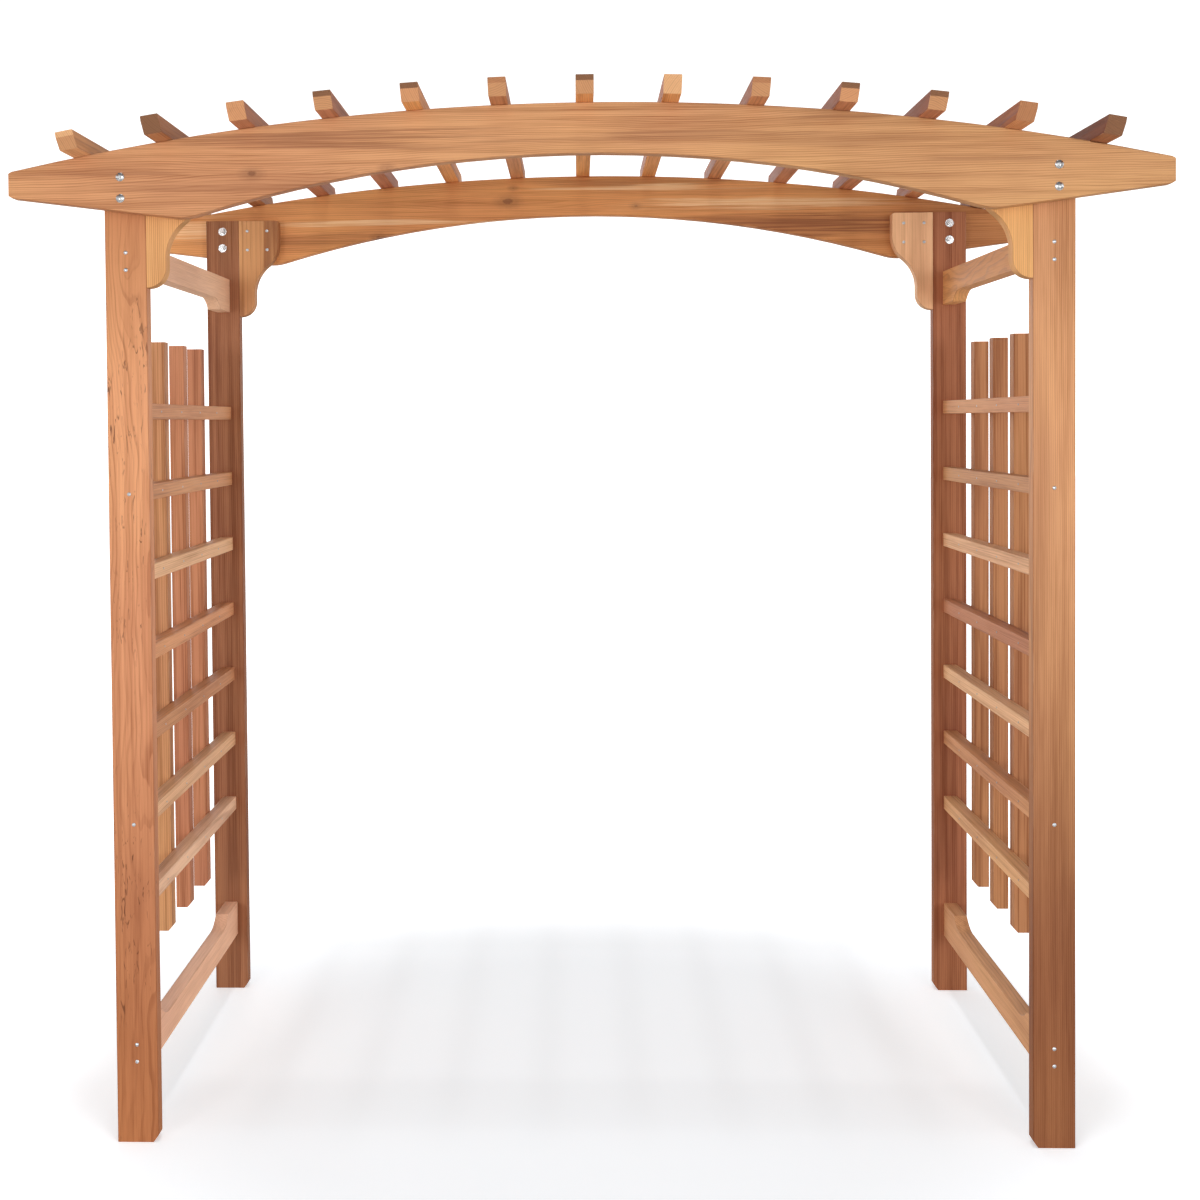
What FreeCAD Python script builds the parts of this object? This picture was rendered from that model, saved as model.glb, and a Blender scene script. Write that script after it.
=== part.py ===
import FreeCAD, Part
import Sketcher
import math
import os

# A cedar garden arbour with trellis sides.
#
# Two arched beams are bolted to the outer faces of four posts. Thirteen rafters lie across the beams,
# each one square to the arch. Shaped brackets stiffen the corners between posts and beams, shaped
# braces join the front and rear posts, and a trellis panel fills each side.
#
# Frame: X runs along the beams, -Y is the front, +Z is up. The origin is on the ground, at the centre
# of the footprint. All lengths are in millimetres.

DIMENSIONS = {
    # boards
    "board_thickness": 35,
    "post_width": 89,
    "post_tall": 2103,
    "post_span": 2050,
    "post_notch_wide": 11,
    "post_notch_tall": 15,
    "bay_depth": 941,
    "edge_round": 2.5,
    "small_edge_round": 1.5,
    # arched beams
    "beam_length": 2438,
    "beam_crown": 2217,
    "beam_radius": 5790,
    "arch_crown": 2111,
    "arch_radius": 2870,
    "beam_tip_bottom": 2032,
    "beam_knee": 843,
    "beam_knee_round": 120,
    "beam_clip_long": 8,
    "beam_clip_tall": 5,
    # rafters
    "rafter_size": 37,
    "rafter_pitch": 178,
    "rafter_overhang": 100,
    "rafter_nose": 12,
    "rafter_undercut": 12,
    # corner brackets
    "bracket_width": 108,
    "bracket_tall": 260,
    "bracket_lobe": 42,
    "bracket_neck": 20,
    "bracket_hollow": 96,
    "bracket_belly": 76,
    "bracket_corner": 8,
    # side braces
    "brace_tall": 89,
    "brace_block": 115,
    "brace_relief": 27,
    "brace_relief_round": 104,
    "brace_corner_round": 6,
    "upper_brace_middle": 1900,
    "lower_brace_middle": 194,
    # trellis
    "rail_size": 35,
    "slat_size": 37,
    "rail_pitch": 178,
    "rail_middle": 1046.5,
    "slat_tall": 1408,
    "slat_middle": 1043,
    "slat_pitch": 192,
    "slat_notch_wide": 9,
    "slat_notch_tall": 10,
    # fasteners
    "bolt_diameter": 8,
    "bolt_clearance": 0.2,
    "bolt_head": 18,
    "bolt_dome": 4.5,
    "bolt_neck": 5,
    "bolt_tail": 4,
    "bolt_drop": 29,
    "bolt_pitch": 45,
    "washer_diameter": 22,
    "washer_thickness": 1.8,
    "nut_flats": 13,
    "nut_tall": 6.5,
    "screw_diameter": 4.6,
    "screw_clearance": 0.2,
    "screw_head": 8,
    "screw_dome": 1.8,
    "screw_recess": 2.6,
    "screw_recess_deep": 1.2,
    "pilot_gap": 2,
    "long_screw": 80,
    "short_screw": 58,
    "brace_screw_pitch": 37,
    "bracket_screw_inset": 23,
    "bracket_screw_drop": 28,
    "bracket_screw_across": 54,
    "bracket_screw_down": 51,
    "nail_diameter": 2.8,
    "nail_clearance": 0.15,
    "nail_head": 4.4,
    "nail_head_thickness": 0.9,
    "nail_length": 60,
}

RAFTERS_PER_SIDE = 6
RAILS = 7
SLATS = 4
SCREWED_RAILS = (2, 6)
FRONT, REAR = -1, 1
LEFT, RIGHT = -1, 1
DOME_RIM = 0.25  # the upright rim of a domed head, as a share of its height
LEAST_CUT = 1  # mm3
NEAR = 1  # mm

X_AXIS = FreeCAD.Vector(1, 0, 0)
Y_AXIS = FreeCAD.Vector(0, 1, 0)
Z_AXIS = FreeCAD.Vector(0, 0, 1)

doc = FreeCAD.newDocument("garden_arbour")
sheet = doc.addObject("Spreadsheet::Sheet", "Sizes")
for row, (alias, number) in enumerate(DIMENSIONS.items(), start=1):
    sheet.set(f"A{row}", alias)
    sheet.set(f"B{row}", str(number))
    sheet.setAlias(f"B{row}", alias)
doc.recompute()


class Size:
    """A length with the spreadsheet expression that it comes from."""

    def __init__(self, number, text):
        self.number = number
        self.text = text

    def __add__(self, other):
        other = as_size(other)
        return Size(self.number + other.number, f"({self.text} + {other.text})")

    def __sub__(self, other):
        other = as_size(other)
        return Size(self.number - other.number, f"({self.text} - {other.text})")

    def __mul__(self, other):
        other = as_size(other)
        return Size(self.number * other.number, f"({self.text} * {other.text})")

    def __truediv__(self, other):
        other = as_size(other)
        return Size(self.number / other.number, f"({self.text} / {other.text})")

    def __neg__(self):
        return Size(-self.number, f"(-1 * {self.text})")


def as_size(value):
    """Let plain numbers stand beside sizes in a sum."""
    if isinstance(value, Size):
        return value
    return Size(value, f"({value})")


def root(size):
    """The square root of a size."""
    return Size(math.sqrt(size.number), f"sqrt({size.text})")


def size(alias):
    """A driving dimension from the sheet."""
    return Size(sheet.get(alias), f"Sizes.{alias}")


ZERO = Size(0.0, "0")

thickness = size("board_thickness")
post_middle_x = (size("post_span") - size("post_width")) / 2
post_inner_x = size("post_span") / 2 - size("post_width")
bay_half = size("bay_depth") / 2
post_middle_y = bay_half + thickness / 2
beam_middle_y = post_middle_y + thickness
beam_outer_y = beam_middle_y + thickness / 2
beam_inner_y = beam_middle_y - thickness / 2
bolt_heights = (size("post_tall") - size("bolt_drop"),
                size("post_tall") - size("bolt_drop") - size("bolt_pitch"))
rail_heights = [size("rail_middle") + size("rail_pitch") * (RAILS // 2 - index) for index in range(RAILS)]
slat_places = [size("slat_pitch") * (index - (SLATS - 1) / 2) for index in range(SLATS)]
brace_middles = (size("upper_brace_middle"), size("lower_brace_middle"))
bolt_hole = size("bolt_diameter") / 2 + size("bolt_clearance")
screw_hole = size("screw_diameter") / 2 + size("screw_clearance")
nail_hole = size("nail_diameter") / 2 + size("nail_clearance")
screw_grip = size("long_screw") - thickness + size("pilot_gap")


def new_body(name):
    """Start a sub-part."""
    body = doc.addObject("PartDesign::Body", name)
    body.Label = name
    return body


def new_sketch(body, name, plane_role, offset=ZERO):
    """Put a sketch on an origin plane of its own body, moved along the plane's normal."""
    sketch = body.newObject("Sketcher::SketchObject", f"{body.Name}_{name}")
    plane = next(feature for feature in body.Origin.OriginFeatures if feature.Role == plane_role)
    sketch.AttachmentSupport = [(plane, "")]
    sketch.MapMode = "FlatFace"
    sketch.AttachmentOffset = FreeCAD.Placement(FreeCAD.Vector(0, 0, offset.number), FreeCAD.Rotation())
    sketch.setExpression("AttachmentOffset.Base.z", offset.text)
    return sketch


def bind(sketch, kind, *target, value):
    """Add a dimension to a sketch and drive it from the sheet."""
    index = sketch.addConstraint(Sketcher.Constraint(kind, *target, value.number))
    sketch.setExpression(f"Constraints[{index}]", value.text)


def join(sketch, first, first_end, second, second_end):
    """Hold two ends together."""
    sketch.addConstraint(Sketcher.Constraint("Coincident", first, first_end, second, second_end))


def arc_edge(start, end, radius, bend):
    """The short arc between two points, with its centre on the left (bend 1) or the right (bend -1)."""
    chord = end - start
    middle = (start + end) / 2
    left = FreeCAD.Vector(-chord.y, chord.x, 0).normalize()
    reach = math.sqrt(radius ** 2 - (chord.Length / 2) ** 2)
    centre = middle + left * reach * bend
    first, last = (start, end) if bend > 0 else (end, start)
    first_angle = math.atan2(first.y - centre.y, first.x - centre.x)
    last_angle = math.atan2(last.y - centre.y, last.x - centre.x)
    return Part.ArcOfCircle(Part.Circle(centre, Z_AXIS, radius), first_angle, last_angle)


def draw_outline(sketch, corners):
    """Draw a closed outline.

    A corner is (across, up) or (across, up, radius, bend), where the radius and bend shape the arc
    that runs on to the next corner. Every corner and radius is driven from the sheet.
    """
    points = [FreeCAD.Vector(corner[0].number, corner[1].number, 0) for corner in corners]
    ends = []
    for place, corner in enumerate(corners):
        start = points[place]
        end = points[(place + 1) % len(points)]
        if len(corner) == 2:
            edge = sketch.addGeometry(Part.LineSegment(start, end), False)
            ends.append((edge, 1, 2))
        else:
            radius, bend = corner[2:]
            edge = sketch.addGeometry(arc_edge(start, end, radius.number, bend), False)
            ends.append((edge, 1, 2) if bend > 0 else (edge, 2, 1))
            bind(sketch, "Radius", edge, value=radius)
    for place, corner in enumerate(corners):
        edge, start_end, _ = ends[place]
        before, _, before_end = ends[place - 1]
        join(sketch, before, before_end, edge, start_end)
        bind(sketch, "DistanceX", -1, 1, edge, start_end, value=corner[0])
        bind(sketch, "DistanceY", -1, 1, edge, start_end, value=corner[1])


def draw_circles(sketch, centres, radius):
    """Draw equal circles."""
    for across, up in centres:
        place = FreeCAD.Vector(across.number, up.number, 0)
        circle = sketch.addGeometry(Part.Circle(place, Z_AXIS, radius.number), False)
        bind(sketch, "Radius", circle, value=radius)
        bind(sketch, "DistanceX", -1, 1, circle, 3, value=across)
        bind(sketch, "DistanceY", -1, 1, circle, 3, value=up)


def draw_squares(sketch, centres, half):
    """Draw equal squares, each as one closed outline."""
    for across, up in centres:
        draw_outline(sketch, [(across - half, up - half), (across + half, up - half),
                              (across + half, up + half), (across - half, up + half)])


def pad_outline(body, plane_role, corners, depth):
    """Pad an outline evenly to both sides of an origin plane."""
    sketch = new_sketch(body, "outline", plane_role)
    draw_outline(sketch, corners)
    pad = body.newObject("PartDesign::Pad", f"{body.Name}_pad")
    pad.Profile = sketch
    pad.SideType = "Symmetric"
    pad.setExpression("Length", depth.text)
    doc.recompute()
    return pad


def cut(body, sketch, depth=None):
    """Pocket a sketch: right through when there is no depth, else into the solid by that depth."""
    before = body.Shape.Volume
    pocket = body.newObject("PartDesign::Pocket", f"{sketch.Name}_cut")
    pocket.Profile = sketch
    if depth is None:
        pocket.Type = "ThroughAll"
        pocket.SideType = "Symmetric"
    else:
        pocket.Type = "Length"
        pocket.setExpression("Length", depth.text)
    doc.recompute()
    if body.Shape.Volume > before - LEAST_CUT:
        pocket.Reversed = True
        doc.recompute()
    if body.Shape.Volume > before - LEAST_CUT:
        raise RuntimeError(f"{pocket.Name} removes nothing")
    return pocket


def drill(body, name, plane_role, centres, radius, offset=ZERO, depth=None):
    """Drill equal round holes."""
    sketch = new_sketch(body, name, plane_role, offset)
    draw_circles(sketch, centres, radius)
    return cut(body, sketch, depth)


def round_edges(body, name, radius, wanted):
    """Round the edges that a test picks out."""
    base = body.Tip
    picked = [f"Edge{place}" for place, edge in enumerate(base.Shape.Edges, start=1) if wanted(edge)]
    fillet = body.newObject("PartDesign::Fillet", f"{body.Name}_{name}")
    fillet.Base = (base, picked)
    fillet.setExpression("Radius", radius.text)
    doc.recompute()
    return fillet


def runs_along(axis):
    """A test for straight edges that are parallel to an axis."""
    def wanted(edge):
        if edge.Curve.TypeId != "Part::GeomLine":
            return False
        return abs(abs(edge.Curve.Direction.dot(axis)) - 1) < 1e-6
    return wanted


def place(body, x, y, z, axis=Z_AXIS, turn=0.0):
    """Stand a sub-part in the arbour."""
    body.Placement = FreeCAD.Placement(FreeCAD.Vector(x.number, y.number, z.number),
                                       FreeCAD.Rotation(axis, turn))
    body.setExpression("Placement.Base.x", x.text)
    body.setExpression("Placement.Base.y", y.text)
    body.setExpression("Placement.Base.z", z.text)
    return body


def half_turn(flag):
    """A turn that swaps a sub-part end for end when the flag is set."""
    return 180.0 if flag else 0.0


def arc_height(crown, radius, across):
    """The height of an arch at a distance from its centre line."""
    return crown - radius + root(radius * radius - across * across)


# ---------------------------------------------------------------- boards

def make_post(name, side, end):
    """A post: a board on end, with its inner bottom corner cut off. Its origin is at its foot."""
    body = new_body(name)
    half = size("post_width") / 2
    tall = size("post_tall")
    pad_outline(body, "XZ_Plane", [(-half, ZERO), (half - size("post_notch_wide"), ZERO),
                                   (half, size("post_notch_tall")), (half, tall), (-half, tall)], thickness)
    round_edges(body, "eased", size("edge_round"), runs_along(Z_AXIS))
    drill(body, "bolts", "XZ_Plane", [(ZERO, height) for height in bolt_heights], bolt_hole)
    screws = [middle + size("brace_screw_pitch") * step / 2 for middle in brace_middles for step in (-1, 1)]
    screws += [rail_heights[number - 1] for number in SCREWED_RAILS]
    drill(body, "screws", "XZ_Plane", [(ZERO, height) for height in screws], screw_hole)
    return place(body, post_middle_x * side, post_middle_y * end, ZERO, turn=half_turn(side == RIGHT))


def beam_outline():
    """The arched beam seen from the front, from its left tip round by the top."""
    half = size("beam_length") / 2
    clip = half - size("beam_clip_long")
    drop = size("beam_clip_tall")
    tip_bottom = size("beam_tip_bottom")
    tip_top = arc_height(size("beam_crown"), size("beam_radius"), clip)
    knee = size("beam_knee")
    knee_height = arc_height(size("arch_crown"), size("arch_radius"), knee)
    return [(-half, tip_bottom + drop), (-half, tip_top - drop),
            (-clip, tip_top, size("beam_radius"), -1), (clip, tip_top),
            (half, tip_top - drop), (half, tip_bottom + drop),
            (clip, tip_bottom), (knee, knee_height, size("arch_radius"), 1),
            (-knee, knee_height), (-clip, tip_bottom)]


def bracket_screw_places():
    """Where the four screws of a corner bracket are: across from the post's face, and up."""
    first = size("bracket_screw_inset")
    top = size("post_tall") - size("bracket_screw_drop")
    across = (first, first + size("bracket_screw_across"))
    up = (top, top - size("bracket_screw_down"))
    return [(distance, height) for distance in across for height in up]


def make_beam(name, end):
    """An arched beam. Its own -Y face is the outer one, so the rear beam is turned round."""
    body = new_body(name)
    pad_outline(body, "XZ_Plane", beam_outline(), thickness)
    crosswise = runs_along(Y_AXIS)
    knee = size("beam_knee").number

    def at_knee(edge):
        return crosswise(edge) and abs(abs(edge.CenterOfMass.x) - knee) < NEAR

    round_edges(body, "knees", size("beam_knee_round"), at_knee)
    upright = runs_along(Z_AXIS)
    least = size("post_width").number
    round_edges(body, "eased", size("edge_round"),
                lambda edge: edge.Length > least and not crosswise(edge) and not upright(edge))
    bolts = [(post_middle_x * side, height) for side in (LEFT, RIGHT) for height in bolt_heights]
    drill(body, "bolts", "XZ_Plane", bolts, bolt_hole)
    necks = new_sketch(body, "necks", "XZ_Plane", thickness / 2)
    draw_squares(necks, bolts, bolt_hole)
    cut(body, necks, size("bolt_neck") + size("bolt_clearance"))
    pilots = [((post_inner_x - across) * side, height)
              for side in (LEFT, RIGHT) for across, height in bracket_screw_places()]
    drill(body, "pilots", "XZ_Plane", pilots, screw_hole, -thickness / 2,
          size("short_screw") - thickness + size("pilot_gap"))
    drill_rafter_pilots(body)
    return place(body, ZERO, beam_middle_y * end, ZERO, turn=half_turn(end == REAR))


def drill_rafter_pilots(body):
    """Pilot holes in the top of a beam, one square to the arch under each rafter."""
    crown = drill(body, "rafter_pilot", "XY_Plane", [(ZERO, ZERO)], screw_hole, size("beam_crown"),
                  size("long_screw") - size("rafter_size") + size("pilot_gap"))
    hub = new_sketch(body, "hub", "XZ_Plane")
    hub_height = size("beam_crown") - size("beam_radius")
    hub.AttachmentOffset = FreeCAD.Placement(FreeCAD.Vector(0, hub_height.number, 0), FreeCAD.Rotation())
    hub.setExpression("AttachmentOffset.Base.y", hub_height.text)
    hub.addGeometry(Part.Point(FreeCAD.Vector()), True)
    doc.recompute()
    for reverse in (False, True):
        pattern = body.newObject("PartDesign::PolarPattern", f"{body.Name}_pilots_{int(reverse)}")
        pattern.Originals = [crown]
        pattern.Axis = (hub, ["N_Axis"])
        pattern.Reversed = reverse
        pattern.Occurrences = RAFTERS_PER_SIDE + 1
        pattern.setExpression("Angle", rafter_turn(RAFTERS_PER_SIDE).text)
        body.Tip = pattern
        doc.recompute()


def rafter_turn(steps):
    """How far round the arch a rafter is, in degrees."""
    return size("rafter_pitch") * steps / size("beam_radius") * (180 / math.pi)


def make_rafter(number):
    """A rafter, square to the arch. Its origin is under its middle, where it lies on the beams."""
    body = new_body(f"rafter_{number:02d}")
    half = beam_outer_y + size("rafter_overhang")
    tall = size("rafter_size")
    nose = tall - size("rafter_nose")
    foot = half - size("rafter_undercut")
    pad_outline(body, "YZ_Plane", [(-foot, ZERO), (foot, ZERO), (half, nose), (half, tall),
                                   (-half, tall), (-half, nose)], tall)
    round_edges(body, "eased", size("small_edge_round"), runs_along(Y_AXIS))
    drill(body, "screws", "XY_Plane", [(ZERO, beam_middle_y * end) for end in (FRONT, REAR)], screw_hole)
    steps = number - RAFTERS_PER_SIDE - 1
    turn = rafter_turn(steps).number
    radius = size("beam_radius").number
    across = radius * math.sin(math.radians(turn))
    up = size("beam_crown").number - radius + radius * math.cos(math.radians(turn))
    body.Placement = FreeCAD.Placement(FreeCAD.Vector(across, 0, up), FreeCAD.Rotation(Y_AXIS, turn))
    return body


def make_bracket(name, side, end):
    """An S-curved corner bracket. Its origin is at its bottom, on the post's inner face."""
    body = new_body(name)
    lobe = size("bracket_lobe")
    width = size("bracket_width")
    tall = size("bracket_tall")
    hollow = size("bracket_hollow")
    belly = size("bracket_belly")
    corner = size("bracket_corner")
    cosine = as_size(1) - (width - lobe) / (hollow + belly)
    sine = root(as_size(1) - cosine * cosine)
    neck_top = lobe + size("bracket_neck")
    pad_outline(body, "XZ_Plane", [
        (ZERO, ZERO, lobe, 1), (lobe, lobe),
        (lobe, neck_top, hollow, -1),
        (lobe + hollow * (as_size(1) - cosine), neck_top + hollow * sine, belly, 1),
        (width, neck_top + (hollow + belly) * sine),
        (width, tall - corner, corner, 1), (width - corner, tall), (ZERO, tall)], thickness)
    crosswise = runs_along(Y_AXIS)
    round_edges(body, "eased", size("small_edge_round"),
                lambda edge: not crosswise(edge) and edge.CenterOfMass.x > NEAR)
    foot = size("post_tall") - tall
    drill(body, "screws", "XZ_Plane", [(across, up - foot) for across, up in bracket_screw_places()],
          screw_hole)
    return place(body, post_inner_x * side, post_middle_y * end, foot, turn=half_turn(side == RIGHT))


def make_brace(name, side, upper):
    """A side brace with a relieved edge. The lower one is the same board, turned over."""
    body = new_body(name)
    low = -size("brace_tall") / 2
    high = size("brace_tall") / 2
    relief = size("brace_relief")
    sweep = size("brace_relief_round")
    block = bay_half - size("brace_block")
    flat = block - root(sweep * relief * 2 - relief * relief)
    pad_outline(body, "YZ_Plane", [
        (-bay_half, low), (-block, low, sweep, -1), (-flat, low + relief), (flat, low + relief, sweep, -1),
        (block, low), (bay_half, low), (bay_half, high), (-bay_half, high)], thickness)
    crosswise = runs_along(X_AXIS)
    upright = runs_along(Z_AXIS)
    corner = (block.number, low.number)

    def at_relief(edge):
        centre = edge.CenterOfMass
        return crosswise(edge) and math.dist((abs(centre.y), centre.z), corner) < NEAR

    round_edges(body, "corners", size("brace_corner_round"), at_relief)
    round_edges(body, "eased", size("small_edge_round"),
                lambda edge: not crosswise(edge) and not upright(edge))
    pilots = [(ZERO, size("brace_screw_pitch") * step / 2) for step in (-1, 1)]
    for end, word in ((FRONT, "front"), (REAR, "rear")):
        drill(body, f"{word}_pilots", "XZ_Plane", pilots, screw_hole, bay_half * -end, screw_grip)
    middle = size("upper_brace_middle") if upper else size("lower_brace_middle")
    return place(body, post_middle_x * side, ZERO, middle, Y_AXIS, half_turn(not upper))


# ---------------------------------------------------------------- trellis

def make_rail(name, side, number):
    """A trellis rail between the front and rear posts, with a nail hole for each slat."""
    body = new_body(name)
    half = size("rail_size") / 2
    pad_outline(body, "YZ_Plane", [(-bay_half, -half), (bay_half, -half), (bay_half, half),
                                   (-bay_half, half)], size("rail_size"))
    round_edges(body, "eased", size("small_edge_round"), runs_along(Y_AXIS))
    drill(body, "nails", "YZ_Plane", [(across, ZERO) for across in slat_places], nail_hole)
    if number in SCREWED_RAILS:
        for end, word in ((FRONT, "front"), (REAR, "rear")):
            drill(body, f"{word}_pilot", "XZ_Plane", [(ZERO, ZERO)], screw_hole, bay_half * -end, screw_grip)
    return place(body, post_middle_x * side, ZERO, rail_heights[number - 1])


def make_slat(name, side, across):
    """An upright trellis slat on the outside of the rails, with its inner bottom corner cut off."""
    body = new_body(name)
    half = size("slat_size") / 2
    tall = size("slat_tall") / 2
    pad_outline(body, "XZ_Plane", [
        (-half, -tall), (half - size("slat_notch_wide"), -tall), (half, -tall + size("slat_notch_tall")),
        (half, tall), (-half, tall)], size("slat_size"))
    round_edges(body, "eased", size("small_edge_round"), runs_along(Z_AXIS))
    holes = [(ZERO, height - size("slat_middle")) for height in rail_heights]
    depth = size("nail_length") - size("rail_size") + size("pilot_gap")
    drill(body, "nails", "YZ_Plane", holes, nail_hole, half, depth)
    x = (post_middle_x + (size("rail_size") + size("slat_size")) / 2) * side
    return place(body, x, across, size("slat_middle"), turn=half_turn(side == RIGHT))


# ---------------------------------------------------------------- fasteners

def revolve(body, corners):
    """Turn a half outline, drawn right of the Z axis, into a round solid."""
    sketch = new_sketch(body, "profile", "XZ_Plane")
    draw_outline(sketch, corners)
    turned = body.newObject("PartDesign::Revolution", f"{body.Name}_turned")
    turned.Profile = sketch
    turned.ReferenceAxis = (sketch, ["V_Axis"])
    turned.Angle = 360
    doc.recompute()
    return turned


def domed_stem(body, head, dome, stem, length):
    """A round stem hanging below a low domed head. The seat of the head is at the origin."""
    rim = dome * DOME_RIM
    rise = dome - rim
    crown = (head * head / 4 + rise * rise) / (rise * 2)
    revolve(body, [(ZERO, -length), (stem / 2, -length), (stem / 2, ZERO), (head / 2, ZERO),
                   (head / 2, rim, crown, 1), (ZERO, dome)])


def make_carriage_bolt():
    """A carriage bolt: domed head, square neck and round shank."""
    body = new_body("carriage_bolt_pattern")
    grip = thickness * 2 + size("washer_thickness") + size("nut_tall") + size("bolt_tail")
    domed_stem(body, size("bolt_head"), size("bolt_dome"), size("bolt_diameter"), grip)
    neck = new_sketch(body, "neck", "XY_Plane", -size("bolt_neck"))
    draw_squares(neck, [(ZERO, ZERO)], size("bolt_diameter") / 2)
    pad = body.newObject("PartDesign::Pad", f"{body.Name}_neck_pad")
    pad.Profile = neck
    pad.setExpression("Length", size("bolt_neck").text)
    doc.recompute()
    return body


def make_washer():
    """A flat washer that lies on the origin plane."""
    body = new_body("bolt_washer_pattern")
    inner = bolt_hole
    outer = size("washer_diameter") / 2
    top = size("washer_thickness")
    revolve(body, [(inner, ZERO), (outer, ZERO), (outer, top), (inner, top)])
    return body


def make_nut():
    """A hexagon nut with chamfered corners. It stands on the origin plane."""
    body = new_body("bolt_nut_pattern")
    across = size("nut_flats")
    corner = across / math.sqrt(3)
    half = across / 2
    sketch = new_sketch(body, "hexagon", "XY_Plane")
    draw_outline(sketch, [(corner, ZERO), (corner / 2, half), (-corner / 2, half),
                          (-corner, ZERO), (-corner / 2, -half), (corner / 2, -half)])
    pad = body.newObject("PartDesign::Pad", f"{body.Name}_pad")
    pad.Profile = sketch
    pad.setExpression("Length", size("nut_tall").text)
    doc.recompute()
    bore = (size("bolt_diameter") + size("bolt_clearance")) / 2
    drill(body, "bore", "XY_Plane", [(ZERO, ZERO)], bore)
    return body


def make_screw(name, length):
    """A pan head screw with a square drive."""
    body = new_body(name)
    domed_stem(body, size("screw_head"), size("screw_dome"), size("screw_diameter"), length)
    recess = new_sketch(body, "recess", "XY_Plane", size("screw_dome"))
    draw_squares(recess, [(ZERO, ZERO)], size("screw_recess") / 2)
    cut(body, recess, size("screw_recess_deep"))
    return body


def make_nail():
    """A flat headed nail. The seat of its head is at the origin."""
    body = new_body("trellis_nail_pattern")
    stem = size("nail_diameter") / 2
    head = size("nail_head") / 2
    length = size("nail_length")
    revolve(body, [(ZERO, -length), (stem, stem - length), (stem, ZERO),
                   (head, ZERO), (head, size("nail_head_thickness")), (ZERO, size("nail_head_thickness"))])
    return body


def make_group(name, pattern, spots):
    """One node of equal fasteners: a copy of the pattern at each (point, direction it faces)."""
    copies = []
    for number, (point, facing) in enumerate(spots, start=1):
        copy = doc.addObject("App::Link", f"{name}_{number}")
        copy.LinkedObject = pattern
        copy.Placement = FreeCAD.Placement(point, FreeCAD.Rotation(Z_AXIS, facing))
        copies.append(copy)
    group = doc.addObject("Part::Compound", name)
    group.Label = name
    group.Links = copies
    return group


def point_at(x, y, z):
    """A point in the arbour."""
    return FreeCAD.Vector(x.number, y.number, z.number)


def bolt_spots(distance, outward):
    """A spot at each bolt, a distance from the middle plane of the arbour along Y."""
    return [(point_at(post_middle_x * side, distance * end, height), Y_AXIS * (end * outward))
            for end in (FRONT, REAR) for side in (LEFT, RIGHT) for height in bolt_heights]


def bracket_screw_spots():
    """Bracket screws go in from the bay side and into the beam."""
    return [(point_at((post_inner_x - across) * side, bay_half * end, height), Y_AXIS * -end)
            for end in (FRONT, REAR) for side in (LEFT, RIGHT)
            for across, height in bracket_screw_places()]


def post_screw_spots(heights):
    """Screws through the outer face of each post."""
    face = bay_half + thickness
    return [(point_at(post_middle_x * side, face * end, height), Y_AXIS * end)
            for end in (FRONT, REAR) for side in (LEFT, RIGHT) for height in heights]


def rafter_screw_spots():
    """Screws through the top of each rafter, square to the arch."""
    spots = []
    top = size("beam_radius").number + size("rafter_size").number
    hub = size("beam_crown").number - size("beam_radius").number
    for steps in range(-RAFTERS_PER_SIDE, RAFTERS_PER_SIDE + 1):
        turn = math.radians(rafter_turn(steps).number)
        facing = FreeCAD.Vector(math.sin(turn), 0, math.cos(turn))
        for end in (FRONT, REAR):
            point = facing * top + FreeCAD.Vector(0, beam_middle_y.number * end, hub)
            spots.append((point, facing))
    return spots


def nail_spots(side):
    """Nails go in from the passage side of each rail and into the slats."""
    face = (post_middle_x - size("rail_size") / 2) * side
    return [(point_at(face, across, height), X_AXIS * -side)
            for height in rail_heights for across in slat_places]


# ---------------------------------------------------------------- the arbour

nodes = []
for end, end_word in ((FRONT, "front"), (REAR, "rear")):
    nodes.append(make_beam(f"{end_word}_beam", end))
    for side, side_word in ((LEFT, "left"), (RIGHT, "right")):
        nodes.append(make_post(f"{end_word}_{side_word}_post", side, end))
        nodes.append(make_bracket(f"{end_word}_{side_word}_bracket", side, end))

for side, side_word in ((LEFT, "left"), (RIGHT, "right")):
    nodes.append(make_brace(f"{side_word}_upper_brace", side, True))
    nodes.append(make_brace(f"{side_word}_lower_brace", side, False))
    for number in range(1, RAILS + 1):
        nodes.append(make_rail(f"{side_word}_trellis_rail_{number}", side, number))
    for number, across in enumerate(slat_places, start=1):
        nodes.append(make_slat(f"{side_word}_trellis_slat_{number}", side, across))

for number in range(1, 2 * RAFTERS_PER_SIDE + 2):
    nodes.append(make_rafter(number))

carriage_bolt = make_carriage_bolt()
washer = make_washer()
nut = make_nut()
long_screw = make_screw("long_screw_pattern", size("long_screw"))
short_screw = make_screw("short_screw_pattern", size("short_screw"))
nail = make_nail()

brace_screw_heights = [middle + size("brace_screw_pitch") * step / 2
                       for middle in brace_middles for step in (-1, 1)]
panel_screw_heights = [rail_heights[number - 1] for number in SCREWED_RAILS]
nodes.append(make_group("carriage_bolts", carriage_bolt, bolt_spots(beam_outer_y, 1)))
nodes.append(make_group("bolt_washers", washer, bolt_spots(bay_half, -1)))
nodes.append(make_group("bolt_nuts", nut, bolt_spots(bay_half - size("washer_thickness"), -1)))
nodes.append(make_group("bracket_screws", short_screw, bracket_screw_spots()))
nodes.append(make_group("brace_screws", long_screw, post_screw_spots(brace_screw_heights)))
nodes.append(make_group("trellis_panel_screws", long_screw, post_screw_spots(panel_screw_heights)))
nodes.append(make_group("rafter_screws", long_screw, rafter_screw_spots()))
nodes.append(make_group("left_trellis_nails", nail, nail_spots(LEFT)))
nodes.append(make_group("right_trellis_nails", nail, nail_spots(RIGHT)))
doc.recompute()

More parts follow.
